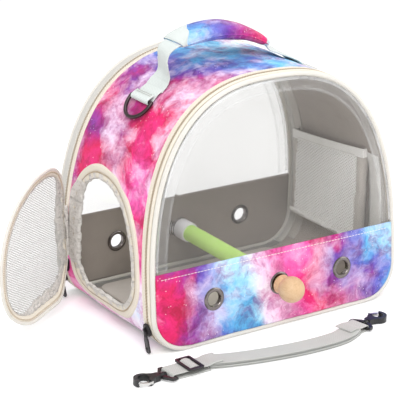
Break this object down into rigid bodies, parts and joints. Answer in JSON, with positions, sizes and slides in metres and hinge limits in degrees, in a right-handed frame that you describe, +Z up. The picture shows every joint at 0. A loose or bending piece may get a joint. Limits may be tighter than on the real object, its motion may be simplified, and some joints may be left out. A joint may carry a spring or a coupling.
{
  "type": "bird travel carrier",
  "caption": "Arched fabric carrier for a small bird with clear zipped end panels, a zipped mesh side door, a perch through eyelets, a padded grip handle and a clip-on shoulder strap.",
  "frame": {"origin": "centre of the base's underside, which stands on the ground at z = 0", "axes": "+X across the arch to the carrier's right side as seen from the front, -Y out of the front panel with the perch knob, +Z up"},
  "size_m": [0.4146, 0.2587, 0.2921],
  "materials": {
    "print": "printed polyester canvas, soft blurred pinks and blues",
    "lining": "woven grey lining cloth",
    "board": "light board under the lining",
    "trim": "cream zipper tape and binding",
    "coil": "nylon zipper coil",
    "strip": "ribbed pale strip",
    "piping": "pale grey covered cord",
    "window": "clear soft vinyl sheet",
    "net": "fine white knitted net",
    "elastic": "grey elastic binding",
    "webbing": "pale woven webbing",
    "strap_webbing": "pale grey woven webbing",
    "eyelet": "gunmetal plated eyelet",
    "hardware": "dark plated wire and zinc",
    "steel": "zinc plated bolt",
    "black_plastic": "moulded black plastic",
    "perch": "green rough coated dowel",
    "cap": "turned white cap",
    "knob": "turned light maple"
  },
  "bodies": {
    "carrier": {"gusset_print": "print", "gusset_lining": "lining", "base_panel": "lining", "floor_board": "board", "front_tape": "trim", "front_coil": "coil", "back_tape": "trim", "back_coil": "coil", "opening_rim": "trim", "opening_strip": "strip", "pocket_net": "net", "pocket_binding": "elastic", "front_slider": "hardware", "back_slider": "hardware", "door_slider": "black_plastic", "ring_tab_left": "webbing", "ring_tab_right": "webbing", "handle_feet": "webbing"},
    "front_panel": {"front_panel_tape": "trim", "front_piping": "piping", "front_window": "window", "front_band": "print", "front_band_lining": "lining", "front_grommets": "eyelet", "perch_rod": "perch", "perch_cap": "cap", "perch_bolt": "steel"},
    "back_panel": {"back_panel_tape": "trim", "back_piping": "piping", "back_window": "window", "back_band": "print", "back_band_lining": "lining", "back_grommets": "eyelet"},
    "side_door": {"door_frame": "trim", "door_mesh": "net", "door_strip": "strip"},
    "knob": {"perch_knob": "knob"},
    "handle": {"handle_grip": "print", "handle_webbing": "webbing"},
    "ring_l": {"ring_left": "hardware"},
    "ring_r": {"ring_right": "hardware"},
    "pull_front": {"front_pull": "hardware"},
    "pull_back": {"back_pull": "hardware"},
    "pull_door": {"door_pull": "black_plastic"},
    "strap": {"strap_webbing": "strap_webbing", "strap_end_left": "strap_webbing", "strap_end_right": "strap_webbing", "tri_glide": "black_plastic", "hook_bracket_left": "black_plastic", "hook_bracket_right": "black_plastic"},
    "hook_l": {"hook_left": "black_plastic"},
    "hook_r": {"hook_right": "black_plastic"},
    "gate_l": {"hook_gate_left": "hardware"},
    "gate_r": {"hook_gate_right": "hardware"}
  },
  "joints": [
    {"name": "front_panel_fold", "type": "hinge", "parent": "carrier", "child": "front_panel", "pos_m": [0, -0.0945, 0], "axis": [1, 0, 0], "range_deg": [0, 48]},
    {"name": "back_panel_fold", "type": "hinge", "parent": "carrier", "child": "back_panel", "pos_m": [0, 0.0945, 0], "axis": [-1, 0, 0], "range_deg": [0, 88]},
    {"name": "side_door_swing", "type": "hinge", "parent": "carrier", "child": "side_door", "pos_m": [-0.153, 0.0658, 0.06], "axis": [0.0199, 0.0995, 0.9948], "range_deg": [-50, 58]},
    {"name": "knob_turn", "type": "hinge", "parent": "front_panel", "child": "knob", "pos_m": [0, -0.09202, 0.0445], "axis": [0, 1, 0], "continuous": true},
    {"name": "handle_sway", "type": "hinge", "parent": "carrier", "child": "handle", "pos_m": [0, 0.00782, 0.24269], "axis": [1, 0, 0], "range_deg": [-10, 10]},
    {"name": "ring_left_lift", "type": "hinge", "parent": "carrier", "child": "ring_l", "pos_m": [-0.10362, 0.00782, 0.2248], "axis": [0, 1, 0], "range_deg": [0, 120]},
    {"name": "ring_right_lift", "type": "hinge", "parent": "carrier", "child": "ring_r", "pos_m": [0.10362, 0.00782, 0.2248], "axis": [0, -1, 0], "range_deg": [0, 120]},
    {"name": "front_pull_flip", "type": "hinge", "parent": "carrier", "child": "pull_front", "pos_m": [-0.15289, -0.08185, 0.02458], "axis": [0, -1, 0], "range_deg": [-160, 5]},
    {"name": "back_pull_flip", "type": "hinge", "parent": "carrier", "child": "pull_back", "pos_m": [-0.15289, 0.07817, 0.02458], "axis": [0, -1, 0], "range_deg": [-160, 5]},
    {"name": "door_pull_flip", "type": "hinge", "parent": "carrier", "child": "pull_door", "pos_m": [-0.1545, 0.0696, 0.04], "axis": [0, 1, 0], "range_deg": [0, 150]},
    {"name": "strap_lift", "type": "slide", "parent": "carrier", "child": "strap", "axis": [0, 0, 1], "range_m": [0, 0.15]},
    {"name": "hook_left_swivel", "type": "hinge", "parent": "strap", "child": "hook_l", "pos_m": [-0.164, -0.1335, 0.00335], "axis": [-1, 0, 0], "continuous": true},
    {"name": "hook_right_swivel", "type": "hinge", "parent": "strap", "child": "hook_r", "pos_m": [0.06937, -0.13925, 0.00335], "axis": [0.9781, 0.2079, 0], "continuous": true},
    {"name": "gate_left_press", "type": "hinge", "parent": "hook_l", "child": "gate_l", "pos_m": [-0.18232, -0.13949, 0.00335], "axis": [0, 0, -1], "range_deg": [0, 25], "stiffness_Nm_per_rad": 0.02, "springref_deg": -20.05},
    {"name": "gate_right_press", "type": "hinge", "parent": "hook_r", "child": "gate_r", "pos_m": [0.08604, -0.12959, 0.00335], "axis": [0, 0, -1], "range_deg": [0, 25], "stiffness_Nm_per_rad": 0.02, "springref_deg": -20.05}
  ]
}
